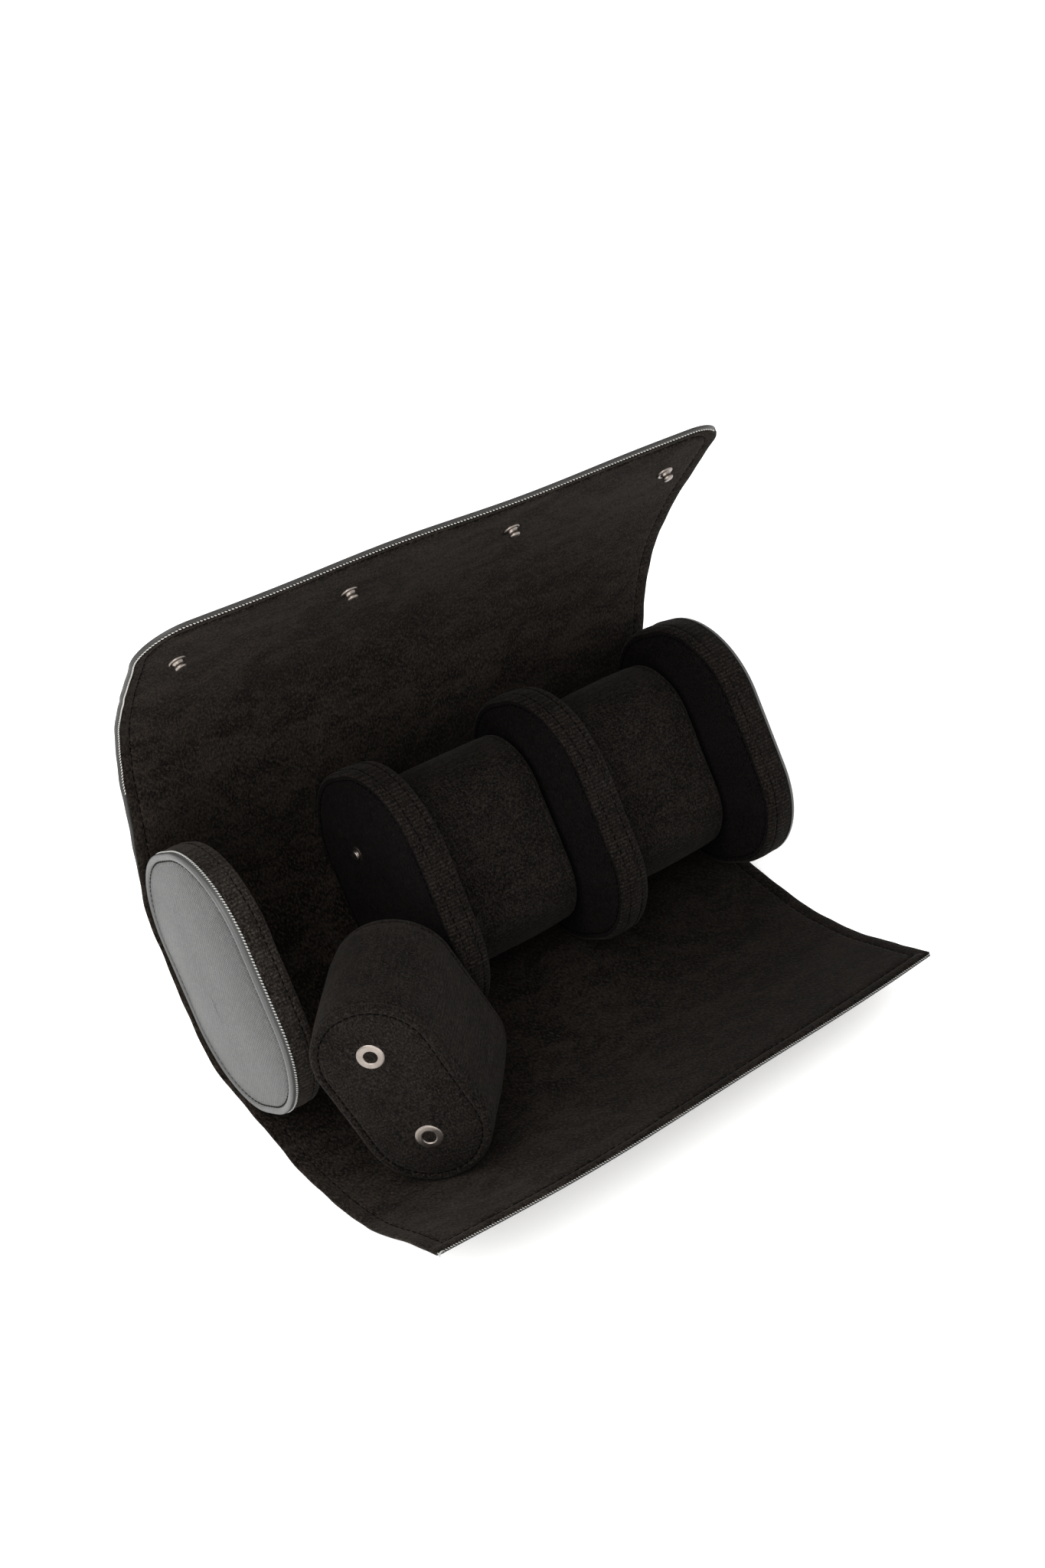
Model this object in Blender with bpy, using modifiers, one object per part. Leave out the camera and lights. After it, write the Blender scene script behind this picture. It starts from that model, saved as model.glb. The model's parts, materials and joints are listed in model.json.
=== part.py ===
"""Three-watch travel roll, standing open.

A leather wrap carries four padded walls on its spine.  Two walls close the
ends and two divide the roll into three compartments.  Each compartment takes
one padded cushion, held between press studs on the walls.  The front panel
and the back flap are modelled as narrow strips hinged to each other, so the
wrap can curl.

Frame: X along the roll, Y towards the back, Z up.  Metres.
"""
import math

import bmesh
import bpy
from mathutils import Euler, Matrix, Vector

MM = 0.001

# Driving dimensions, in metres.
ROLL_LENGTH = 212 * MM          # outer face to outer face of the end caps
WALL_THICKNESS = 11.5 * MM
WALL_WIDTH = 73 * MM            # front to back, across the long axis
WALL_HEIGHT = 93 * MM           # along the long axis
WALL_CORNER = 32.5 * MM
LEAN = math.radians(51.5)       # long axis of the walls above the floor
WRAP_WIDTH = 215 * MM
LINING = 1.3 * MM
LEATHER = 1.3 * MM
GAP = 0.3 * MM                  # left between pieces that touch
WRAP = LINING + GAP + LEATHER

# The front panel: hinge spacing and how far each strip bends up at rest.
FLOOR_RUN = 50 * MM             # flat run of the wrap in front of the walls' middle
FLAT_ANGLE = math.radians(12.9)  # the wrap stays flat under this much of the round
ROUND_ANGLE = math.radians(45)  # and lies close against the round from here up
PANEL_STRIPS = (26 * MM, 26 * MM, 26 * MM)
PANEL_BENDS = (14, 11, 8)
SEAM_GAP = 0.4 * MM             # between the linings of two strips
LEATHER_SEAM_GAP = 1.1 * MM     # wider outside, so the strips can bend back

# The back flap: five strips, the last one with round corners.
FLAP_FOOT = 5 * MM              # height of the first hinge above the walls' back
FLAP_STRIPS = (19 * MM, 19 * MM, 19 * MM, 19 * MM, 51 * MM)
FLAP_BENDS = (0, 4, 8, 9, 9)
FLAP_CORNER = 17 * MM

# The wrap sits a little askew, so both of its free edges slant across the roll.
EDGE_SLANT = 8.7 * MM           # at either end of an edge

# Cushions.
CUSHION_LENGTH = 49 * MM
CUSHION_WIDTH = 42 * MM
CUSHION_HEIGHT = 71 * MM
CUSHION_SKIN = 1.5 * MM
CUSHION_SETBACK = 8 * MM        # seated cushions sit this far behind the middle
SOCKET_SPACING = 34.5 * MM
LOOSE_CUSHION_PLACE = Vector((-67.9, -55.3, 42.6)) * MM
LOOSE_CUSHION_TURN = Euler((math.radians(-31.5), math.radians(10.5), math.radians(48)), 'XYZ')

# Press studs.
STUD_DISC = 3.3 * MM
STUD_BALL = 1.9 * MM
WALL_STUD_HEIGHT = 1.6 * MM
FLAP_STUD_HEIGHT = 3.0 * MM
SOCKET_RADIUS = 4.6 * MM
SOCKET_BORE = 2.1 * MM
SOCKET_RIM = 0.6 * MM
FLAP_STUD_SPACING = 61.7 * MM
FLAP_STUD_INSET = 25 * MM       # from the flap's free edge
PANEL_SOCKET_INSET = 43 * MM    # from the panel's front edge

# The roll's middle lies behind the middle of the whole open object.
MIDDLE_Y = 40.96 * MM

LONG = Vector((0, math.cos(LEAN), math.sin(LEAN)))      # up the spine
OUT = Vector((0, -math.sin(LEAN), math.cos(LEAN)))      # out of the open front
ACROSS = Vector((1, 0, 0))
LONG_INSET = WALL_HEIGHT / 2 - WALL_CORNER
WIDE_INSET = WALL_WIDTH / 2 - WALL_CORNER
LOWEST = LONG_INSET * LONG.z + WIDE_INSET * OUT.z + WALL_CORNER
WALL_CENTRE = Vector((0, MIDDLE_Y, WRAP + GAP + LOWEST))
WALL_SURFACE = GAP              # lining stands this far off the walls
COMPARTMENT = (ROLL_LENGTH - 4 * WALL_THICKNESS) / 3
WALL_STARTS = [-ROLL_LENGTH / 2 + i * (WALL_THICKNESS + COMPARTMENT) for i in range(4)]
COMPARTMENT_CENTRES = [start + WALL_THICKNESS + COMPARTMENT / 2 for start in WALL_STARTS[:3]]


def clear_scene():
    for item in list(bpy.data.objects):
        bpy.data.objects.remove(item, do_unlink=True)


def collection(name):
    made = bpy.data.collections.new(name)
    bpy.context.scene.collection.children.link(made)
    return made


def material(name, colour, roughness, metallic=0.0):
    made = bpy.data.materials.new(name)
    made.use_nodes = True
    shader = made.node_tree.nodes["Principled BSDF"]
    shader.inputs["Base Color"].default_value = (*colour, 1)
    shader.inputs["Roughness"].default_value = roughness
    shader.inputs["Metallic"].default_value = metallic
    return made


clear_scene()
PARTS = collection("watch_roll")
GREY_LEATHER = material("grey_leather", (0.09, 0.095, 0.105), 0.5)
BLACK_SUEDE = material("black_suede", (0.012, 0.011, 0.010), 0.9)
BOARD = material("grey_board", (0.35, 0.33, 0.30), 0.85)
FOAM = material("dark_foam", (0.05, 0.05, 0.05), 0.95)
NICKEL = material("nickel", (0.70, 0.68, 0.64), 0.25, 1.0)


def finish(item, finish_material, smooth=False):
    """Put an object into the model with its material."""
    PARTS.objects.link(item)
    item.data.materials.append(finish_material)
    if smooth:
        item.data.shade_smooth()
        item.data.set_sharp_from_angle(angle=math.radians(40))
    return item


def frame_matrix(origin, x_axis, y_axis, z_axis):
    """A placing whose local axes are the three given directions."""
    turn = Matrix((x_axis, y_axis, z_axis)).transposed()
    return Matrix.Translation(origin) @ turn.to_4x4()


# ---------------------------------------------------------------- outlines

def rounded_rectangle(width, height, radius, steps=7):
    """Corner arcs in order, as points of a closed flat outline."""
    points = []
    for corner, (sx, sy) in enumerate(((1, 1), (-1, 1), (-1, -1), (1, -1))):
        for step in range(steps + 1):
            angle = math.radians(90 * (corner + step / steps))
            points.append((sx * (width / 2 - radius) + radius * math.cos(angle),
                           sy * (height / 2 - radius) + radius * math.sin(angle)))
    return points


def drop_doubles(points):
    kept = [points[0]]
    for point in points[1:]:
        if math.dist(point, kept[-1]) > 1e-6:
            kept.append(point)
    if math.dist(kept[0], kept[-1]) < 1e-6:
        kept.pop()
    return kept


def flat_curve(name, outlines, thickness):
    """A filled 2D curve, extruded both ways from its own plane."""
    curve = bpy.data.curves.new(name, 'CURVE')
    curve.dimensions = '2D'
    curve.fill_mode = 'BOTH'
    curve.extrude = thickness / 2
    for outline in outlines:
        spline = curve.splines.new('POLY')
        points = drop_doubles(outline)
        spline.points.add(len(points) - 1)
        for target, (x, y) in zip(spline.points, points):
            target.co = (x, y, 0, 1)
        spline.use_cyclic_u = True
    return bpy.data.objects.new(name, curve)


def as_mesh(item):
    """Turn a curve object into a closed mesh object with welded caps."""
    PARTS.objects.link(item)
    bpy.context.view_layer.update()
    evaluated = item.evaluated_get(bpy.context.evaluated_depsgraph_get())
    mesh = bpy.data.meshes.new_from_object(evaluated)
    work = bmesh.new()
    work.from_mesh(mesh)
    bmesh.ops.remove_doubles(work, verts=work.verts, dist=1e-6)
    work.to_mesh(mesh)
    work.free()
    mesh.name = item.name
    name = item.name
    place = item.matrix_world.copy()
    bpy.data.objects.remove(item, do_unlink=True)
    made = bpy.data.objects.new(name, mesh)
    made.matrix_world = place
    return made


def slab(name, outlines, thickness, place, look):
    """A flat piece from its outlines, standing where place puts its middle plane."""
    item = flat_curve(name, outlines, thickness)
    item.matrix_world = place
    return finish(as_mesh(item), look)


# ---------------------------------------------------------------- the wrap

def strip_profile(start, heading, lengths, bends, turn_sign):
    """Hinge points of a chain of flat strips and each strip's heading."""
    points = [start]
    headings = []
    angle = heading
    for length, bend in zip(lengths, bends):
        angle += turn_sign * math.radians(bend)
        headings.append(angle)
        step = Vector((0, math.cos(angle), math.sin(angle)))
        points.append(points[-1] + step * length)
    return points, headings


def sagged(radius, rise):
    """Distance of the wrap from the lower round's centre, this far up from the floor."""
    if rise < FLAT_ANGLE:
        return radius / math.cos(rise)
    sag = radius / math.cos(FLAT_ANGLE) - radius
    left = max(0.0, (ROUND_ANGLE - rise) / (ROUND_ANGLE - FLAT_ANGLE))
    return radius + sag * left ** 2


def spine_profile(offset):
    """Profile that follows the walls at a distance, front floor to flap foot."""
    points = []
    lower = WALL_CENTRE - LONG * LONG_INSET - OUT * WIDE_INSET
    upper = WALL_CENTRE + LONG * LONG_INSET - OUT * WIDE_INSET
    radius = WALL_CORNER + offset
    floor_z = lower.z - radius
    points.append(Vector((0, WALL_CENTRE.y - FLOOR_RUN, floor_z)))
    points.append(Vector((0, lower.y - FLOOR_RUN * 0.3, floor_z)))
    lean_back = math.degrees(LEAN)
    for step in range(9):
        rise = math.radians(lean_back * step / 8)
        points.append(lower + Vector((0, math.sin(rise), -math.cos(rise))) * sagged(radius, rise))
    for step in range(7):
        angle = math.radians(-90 + lean_back + (90 - lean_back) * step / 6)
        points.append(upper + Vector((0, math.cos(angle), math.sin(angle))) * radius)
    points.append(Vector((0, upper.y + radius, upper.z + FLAP_FOOT)))
    return points


def bent_sheet(name, points, thickness, look):
    """A sheet bent along the roll, thickened towards the outside."""
    mesh = bpy.data.meshes.new(name)
    work = bmesh.new()
    left = [work.verts.new((-WRAP_WIDTH / 2, p.y, p.z)) for p in points]
    right = [work.verts.new((WRAP_WIDTH / 2, p.y, p.z)) for p in points]
    for i in range(len(points) - 1):
        work.faces.new((left[i], right[i], right[i + 1], left[i + 1]))
    work.to_mesh(mesh)
    work.free()
    item = finish(bpy.data.objects.new(name, mesh), look)
    thick = item.modifiers.new("thickness", 'SOLIDIFY')
    thick.thickness = thickness
    thick.offset = -1
    thick.use_even_offset = True
    return item


def strip_outline(length, seam, far_seam, corner, slant):
    """Strip outline with X along the roll and Y up the strip; round, slanting far end."""
    half = WRAP_WIDTH / 2
    points = [(-half, seam / 2), (half, seam / 2)]
    far = length - far_seam / 2
    if not corner:
        return points + [(half, far + slant), (-half, far - slant)]
    for sign, first in ((1, 0), (-1, 90)):
        for step in range(8):
            angle = math.radians(first + 90 * step / 7)
            points.append((sign * (half - corner) + corner * math.cos(angle),
                           far + sign * slant - corner + corner * math.sin(angle)))
    return points


def wrap_strip(name, start, heading, length, inward_sign, last, corner, slant):
    """Lining and leather of one strip; start is its hinge on the lining's face."""
    along = Vector((0, math.cos(heading), math.sin(heading)))
    inward = Vector((0, -along.z, along.y)) * inward_sign
    z_axis = ACROSS.cross(along)
    for layer, seam, depth, thickness, look in (
            ("lining", SEAM_GAP, LINING / 2, LINING, BLACK_SUEDE),
            ("leather", LEATHER_SEAM_GAP, LINING + GAP + LEATHER / 2, LEATHER, GREY_LEATHER)):
        outline = strip_outline(length, seam, 0 if last else seam, corner, slant)
        origin = start - inward * depth
        place = frame_matrix(origin, ACROSS, along, z_axis)
        slab(f"{name}_{layer}", [outline], thickness, place, look)
    return along, inward


def chain(name, start, heading, lengths, bends, turn_sign, inward_sign, slant, corner=0.0):
    """All strips of one half of the wrap; returns each strip's start, along, inward."""
    points, headings = strip_profile(start, heading, lengths, bends, turn_sign)
    made = []
    for i, (point, angle, length) in enumerate(zip(points, headings, lengths)):
        last = i == len(lengths) - 1
        along, inward = wrap_strip(f"{name}_{i + 1}", point, angle, length, inward_sign, last,
                                   corner if last else 0.0, slant if last else 0.0)
        made.append((point, along, inward, length))
    return made


def build_wrap():
    inner = spine_profile(WALL_SURFACE)
    outer = spine_profile(WALL_SURFACE + LINING + GAP)
    bent_sheet("spine_lining", inner, LINING, BLACK_SUEDE)
    bent_sheet("spine_leather", outer, LEATHER, GREY_LEATHER)
    panel = chain("front_panel", inner[0], math.pi, PANEL_STRIPS, PANEL_BENDS, -1, -1,
                  -EDGE_SLANT)
    flap = chain("back_flap", inner[-1], math.pi / 2, FLAP_STRIPS, FLAP_BENDS, 1, 1,
                 EDGE_SLANT, FLAP_CORNER)
    return panel, flap


# ---------------------------------------------------------------- the walls

def wall_place(x):
    """Local X across the wall's width, local Y up its long axis, at X = x."""
    return frame_matrix(Vector((x, WALL_CENTRE.y, WALL_CENTRE.z)), OUT, LONG, OUT.cross(LONG))


def wall_outline(inset):
    return rounded_rectangle(WALL_WIDTH - 2 * inset, WALL_HEIGHT - 2 * inset, WALL_CORNER - inset)


BAND = 1.5 * MM                 # suede band round a wall
FACING = 1.5 * MM               # leather face of an end cap


def wall_layer(name, x_low, x_high, outlines, look):
    slab(name, outlines, x_high - x_low, wall_place((x_low + x_high) / 2), look)


def build_wall(name, start, end):
    """A suede band round a padded board."""
    wall_layer(f"{name}_band", start, end, [wall_outline(0), wall_outline(BAND)], BLACK_SUEDE)
    wall_layer(f"{name}_padded_board", start, end, [wall_outline(BAND + GAP)], BLACK_SUEDE)


def build_walls():
    """Two end caps with leather faces, and two dividers between them."""
    left, first, second, right = WALL_STARTS
    seat = FACING + GAP
    wall_layer("left_cap_leather", left, left + FACING, [wall_outline(0)], GREY_LEATHER)
    build_wall("left_cap", left + seat, left + WALL_THICKNESS)
    build_wall("divider_1", first, first + WALL_THICKNESS)
    build_wall("divider_2", second, second + WALL_THICKNESS)
    end = right + WALL_THICKNESS
    build_wall("right_cap", right, end - seat)
    wall_layer("right_cap_leather", end - FACING, end, [wall_outline(0)], GREY_LEATHER)


# ---------------------------------------------------------------- press studs

def turned(name, profile, places, look, segments=16):
    """Numbered turned pieces that share one mesh, one at each place."""
    mesh = turned_mesh(name, profile, segments)
    mesh.materials.append(look)
    mesh.shade_smooth()
    mesh.set_sharp_from_angle(angle=math.radians(40))
    for number, place in enumerate(places, 1):
        item = bpy.data.objects.new(f"{name}_{number}", mesh)
        item.matrix_world = place
        PARTS.objects.link(item)


def turned_mesh(name, profile, segments):
    """A closed turned mesh; a profile that starts and ends off the axis is a ring."""
    mesh = bpy.data.meshes.new(name)
    work = bmesh.new()
    verts = [work.verts.new((radius, 0, height)) for radius, height in profile]
    for first, second in zip(verts, verts[1:]):
        work.edges.new((first, second))
    if profile[0][0] > 0:
        work.edges.new((verts[-1], verts[0]))
    work.to_mesh(mesh)
    work.free()
    item = bpy.data.objects.new(name, mesh)
    screw = item.modifiers.new("turn", 'SCREW')
    screw.axis = 'Z'
    screw.steps = segments
    screw.render_steps = segments
    screw.use_merge_vertices = True
    screw.merge_threshold = 0.00001
    screw.use_normal_calculate = False
    bpy.context.scene.collection.objects.link(item)
    bpy.context.view_layer.update()
    evaluated = item.evaluated_get(bpy.context.evaluated_depsgraph_get())
    made = bpy.data.meshes.new_from_object(evaluated)
    bpy.data.objects.remove(item, do_unlink=True)
    return made


def stud_profile(height):
    """Base disc with a ball on top, outer side from top to bottom."""
    disc = 0.25 * height
    ball_low = disc + 0.2 * height
    return [(0, height), (0.75 * STUD_BALL, 0.93 * height), (STUD_BALL, 0.72 * height),
            (0.7 * STUD_BALL, ball_low), (0.8 * STUD_BALL, disc + 0.08 * height),
            (STUD_DISC - 0.5 * MM, disc), (STUD_DISC, 0.5 * disc), (STUD_DISC, 0), (0, 0)]


def socket_profile():
    """Raised ring round a bore, outer side from top to bottom, closed into a ring."""
    return [(SOCKET_BORE + 0.3 * MM, 0.7 * SOCKET_RIM), (SOCKET_BORE + 1.2 * MM, SOCKET_RIM),
            (SOCKET_RADIUS - 1.0 * MM, SOCKET_RIM), (SOCKET_RADIUS, 0.4 * SOCKET_RIM),
            (SOCKET_RADIUS, 0), (SOCKET_BORE, 0), (SOCKET_BORE, 0.5 * SOCKET_RIM)]


def facing(origin, normal):
    """A placing whose local Z is normal."""
    side = ACROSS if abs(normal.x) < 0.5 else LONG
    other = normal.cross(side).normalized()
    return frame_matrix(origin, other.cross(normal).normalized(), other, normal)


def row_on_strip(strip, from_start, depth, direction, slant=0.0):
    """Four places along the roll on a strip, this far from its hinge."""
    start, along, inward, _ = strip
    base = start + along * from_start - inward * depth
    row = ACROSS + along * slant * 2 / WRAP_WIDTH
    return [facing(base + row * FLAP_STUD_SPACING * (i - 1.5), inward * direction)
            for i in range(4)]


def build_snaps(panel, flap):
    """Studs on the flap's lining and the sockets they press into, under the panel."""
    last = flap[-1]
    up = last[3] - FLAP_STUD_INSET
    places = row_on_strip(last, up, -GAP, 1, EDGE_SLANT)
    turned("flap_stud", stud_profile(FLAP_STUD_HEIGHT), places, NICKEL)
    strip = panel[1]
    ahead = sum(PANEL_STRIPS) - PANEL_STRIPS[0] - PANEL_SOCKET_INSET
    turned("panel_socket", socket_profile(), row_on_strip(strip, ahead, WRAP + GAP, -1), NICKEL)


def seat_centre(x):
    return Vector((x, WALL_CENTRE.y, WALL_CENTRE.z)) - OUT * CUSHION_SETBACK


def build_wall_studs():
    """Two studs on the right-hand wall of every compartment."""
    places = []
    for centre in COMPARTMENT_CENTRES:
        face = seat_centre(centre + COMPARTMENT / 2 - GAP)
        for end in (-1, 1):
            places.append(facing(face + LONG * end * SOCKET_SPACING / 2, -ACROSS))
    turned("wall_stud", stud_profile(WALL_STUD_HEIGHT), places, NICKEL)


# ---------------------------------------------------------------- cushions

def cushion_outline(inset):
    width = CUSHION_WIDTH - 2 * inset
    return rounded_rectangle(width, CUSHION_HEIGHT - 2 * inset, width / 2 - 0.2 * MM)


def build_cushion(number, place):
    """One cushion; local Z is its length, local Y its long axis."""

    def layer(name, low, high, outlines, look):
        middle = Matrix.Translation((0, 0, (low + high) / 2))
        slab(f"cushion_{number}_{name}", outlines, high - low, place @ middle, look)

    half = CUSHION_LENGTH / 2
    inside = cushion_outline(CUSHION_SKIN + GAP)
    layer("cover", -half, half, [cushion_outline(0), cushion_outline(CUSHION_SKIN)], BLACK_SUEDE)
    layer("left_end", -half, -half + CUSHION_SKIN, [inside], BLACK_SUEDE)
    layer("foam", -half + CUSHION_SKIN + GAP, half - CUSHION_SKIN - GAP, [inside], FOAM)
    layer("right_end", half - CUSHION_SKIN, half, [inside], BLACK_SUEDE)
    places = [place @ Matrix.Translation((0, end * SOCKET_SPACING / 2, half + GAP))
              for end in (-1, 1)]
    turned(f"cushion_{number}_socket", socket_profile(), places, NICKEL)


def seated_place(x):
    return frame_matrix(seat_centre(x), -OUT, LONG, ACROSS)


def loose_place():
    """The first cushion lies turned on the front panel."""
    turn = LOOSE_CUSHION_TURN.to_matrix()
    long_axis = turn @ Vector((0, 0, 1))
    length_axis = turn @ Vector((1, 0, 0))
    side_axis = long_axis.cross(length_axis)
    centre = LOOSE_CUSHION_PLACE + Vector((0, MIDDLE_Y, 0))
    return frame_matrix(centre, side_axis, long_axis, side_axis.cross(long_axis))


def build():
    panel, flap = build_wrap()
    build_walls()
    build_wall_studs()
    build_snaps(panel, flap)
    build_cushion(1, loose_place())
    build_cushion(2, seated_place(COMPARTMENT_CENTRES[1]))
    build_cushion(3, seated_place(COMPARTMENT_CENTRES[2]))


build()
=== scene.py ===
import json
import math
from collections import namedtuple

import bpy
import numpy as np
from mathutils import Euler, Matrix, Vector, noise


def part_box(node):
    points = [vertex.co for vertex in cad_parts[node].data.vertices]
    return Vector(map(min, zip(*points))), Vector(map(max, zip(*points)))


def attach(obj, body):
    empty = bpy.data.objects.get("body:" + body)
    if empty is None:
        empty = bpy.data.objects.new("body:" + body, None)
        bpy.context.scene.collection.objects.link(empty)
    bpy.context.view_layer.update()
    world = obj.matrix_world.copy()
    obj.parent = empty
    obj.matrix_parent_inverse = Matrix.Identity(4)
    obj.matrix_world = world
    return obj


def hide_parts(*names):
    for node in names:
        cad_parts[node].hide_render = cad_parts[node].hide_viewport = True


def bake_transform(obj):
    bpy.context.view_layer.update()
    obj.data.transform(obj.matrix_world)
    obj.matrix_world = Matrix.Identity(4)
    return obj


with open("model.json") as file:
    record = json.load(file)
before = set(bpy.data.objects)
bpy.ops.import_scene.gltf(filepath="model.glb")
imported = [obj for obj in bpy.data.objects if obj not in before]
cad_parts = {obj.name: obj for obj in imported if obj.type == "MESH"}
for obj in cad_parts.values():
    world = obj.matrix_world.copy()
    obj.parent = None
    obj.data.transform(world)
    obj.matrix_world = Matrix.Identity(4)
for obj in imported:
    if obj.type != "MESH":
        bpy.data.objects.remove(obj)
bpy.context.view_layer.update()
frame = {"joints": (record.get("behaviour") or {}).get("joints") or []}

MM = 0.001

# ---- sizes, in metres
WRAP_HALF = 107.5 * MM
WRAP_THICK = 2.9 * MM
FLAP_CORNER = 17 * MM
FRONT_CORNER = 1.5 * MM
EDGE_SLANT = 8.7 * MM
PANEL_LAST, PANEL_ANGLE = 26 * MM, 147  # the panel's front strip: length and degrees
FLAP_LAST, FLAP_ANGLE = 51 * MM, 120  # the flap's last strip
WRAP_CLEAR = 0.3 * MM  # between the wrap and the walls
SHEET_IN = 12 * MM  # the width of the wrap's shaped border
WALL_WIDTH, WALL_HEIGHT, WALL_CORNER = 73 * MM, 93 * MM, 32.5 * MM
WALL_THICK = 11.5 * MM
SEAT_DROP = 8 * MM
LEAN = math.radians(51.5)
LONG = Vector((0, math.cos(LEAN), math.sin(LEAN)))
OUT = Vector((0, -math.sin(LEAN), math.cos(LEAN)))
ACROSS = Vector((1, 0, 0))
CUSHION_LENGTH, CUSHION_WIDTH, CUSHION_HEIGHT = 49 * MM, 42 * MM, 71 * MM
SOCKET_SPACING = 34.5 * MM
STUD_SPACING = 60.2 * MM  # as in the photo; 61.7 in the CAD
STUD_INSET = 25 * MM


def node_middle(name):
    low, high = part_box(name)
    return (low + high) / 2


def joint_point(name):
    joint = next(j for j in frame["joints"] if j["name"] == name)
    return np.array(joint["pos_m"][1:], float)


WALL_CENTRE = node_middle("divider_1_band")
WALL_CENTRE.x = 0
WALL_STARTS = [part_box(name)[0].x for name in
               ("left_cap_leather", "divider_1_band", "divider_2_band", "right_cap_band")]
COMPARTMENT = WALL_STARTS[1] - WALL_STARTS[0] - WALL_THICK
CENTRES = [start + WALL_THICK + COMPARTMENT / 2 for start in WALL_STARTS[:3]]
SEAT = WALL_CENTRE - OUT * SEAT_DROP


# ---- materials

WAVE_SCALE = 2 * math.pi / 20  # one band to each unit of a wave texture's vector
LINT = (0.07, 0.063, 0.058)


def set_inputs(node, **values):
    """Set a node's inputs; an underscore stands for a space in an input's name."""
    for key, value in values.items():
        node.inputs[key.replace("_", " ")].default_value = value


def times(values, factor):
    return tuple(v * factor for v in values)


class Look:
    """A procedural material under construction."""

    def __init__(self, name, **values):
        self.made = bpy.data.materials.new(name)
        self.made.use_nodes = True
        self.tree = self.made.node_tree
        self.shader = self.tree.nodes["Principled BSDF"]
        set_inputs(self.shader, **values)
        lay = self.node("Attribute")
        lay.attribute_name = "lay"
        self.lay = lay.outputs["Vector"]
        self.normal = None

    def node(self, kind, **values):
        node = self.tree.nodes.new("ShaderNode" + kind)
        set_inputs(node, **values)
        return node

    def link(self, a, b):
        self.tree.links.new(a, b)

    def turned(self, scale, degrees):
        """The lay coordinates in features per metre, turned about Z."""
        node = self.node("Mapping", Rotation=(0, 0, math.radians(degrees)),
                         Scale=scale if isinstance(scale, tuple) else (scale,) * 3)
        self.link(self.lay, node.inputs["Vector"])
        return node.outputs["Vector"]

    def noise(self, scale, detail=3.0, rough=0.55, degrees=0.0, distortion=0.0):
        node = self.node("TexNoise", Scale=1.0, Detail=detail, Roughness=rough,
                         Distortion=distortion)
        self.link(self.turned(scale, degrees), node.inputs["Vector"])
        return node.outputs["Fac"]

    def bands(self, per_metre, degrees, distortion):
        """Parallel ridges, this many to the metre."""
        node = self.node("TexWave", Scale=WAVE_SCALE, Distortion=distortion, Detail=2.0)
        self.link(self.turned(per_metre, degrees), node.inputs["Vector"])
        return node.outputs["Fac"]

    def math(self, kind, a, b):
        node = self.node("Math")
        node.operation = kind
        self.link(a, node.inputs[0])
        self.link(b, node.inputs[1])
        return node.outputs[0]

    def span(self, value, low, high, start, end):
        """From start to end as the value goes from low to high."""
        node = self.node("MapRange", From_Min=low, From_Max=high, To_Min=start, To_Max=end)
        self.link(value, node.inputs["Value"])
        return node.outputs["Result"]

    def mix(self, factor, a, b):
        node = self.node("Mix")
        node.data_type = 'RGBA'
        self.link(factor, node.inputs[0])
        for socket, value in zip([s for s in node.inputs if s.type == 'RGBA'], (a, b)):
            if isinstance(value, tuple):
                socket.default_value = (*value, 1)
            else:
                self.link(value, socket)
        return next(s for s in node.outputs if s.type == 'RGBA')

    def tint(self, under, over, value, low, high, start=0.0, end=1.0):
        """One colour laid over another, by start to end as the value goes from low to high."""
        return self.mix(self.span(value, low, high, start, end), under, over)

    def tints(self, colour, base, *rows):
        """Lighter and darker shades of the base laid over a colour, row by row."""
        for factor, *steps in rows:
            colour = self.tint(colour, times(base, factor), *steps)
        return colour

    def feed(self, name, value):
        self.link(value, self.shader.inputs[name])

    def bump(self, height, strength, distance):
        node = self.node("Bump", Strength=strength, Distance=distance)
        self.link(height, node.inputs["Height"])
        if self.normal is not None:
            self.link(self.normal, node.inputs["Normal"])
        self.normal = node.outputs["Normal"]
        self.feed("Normal", self.normal)


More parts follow.
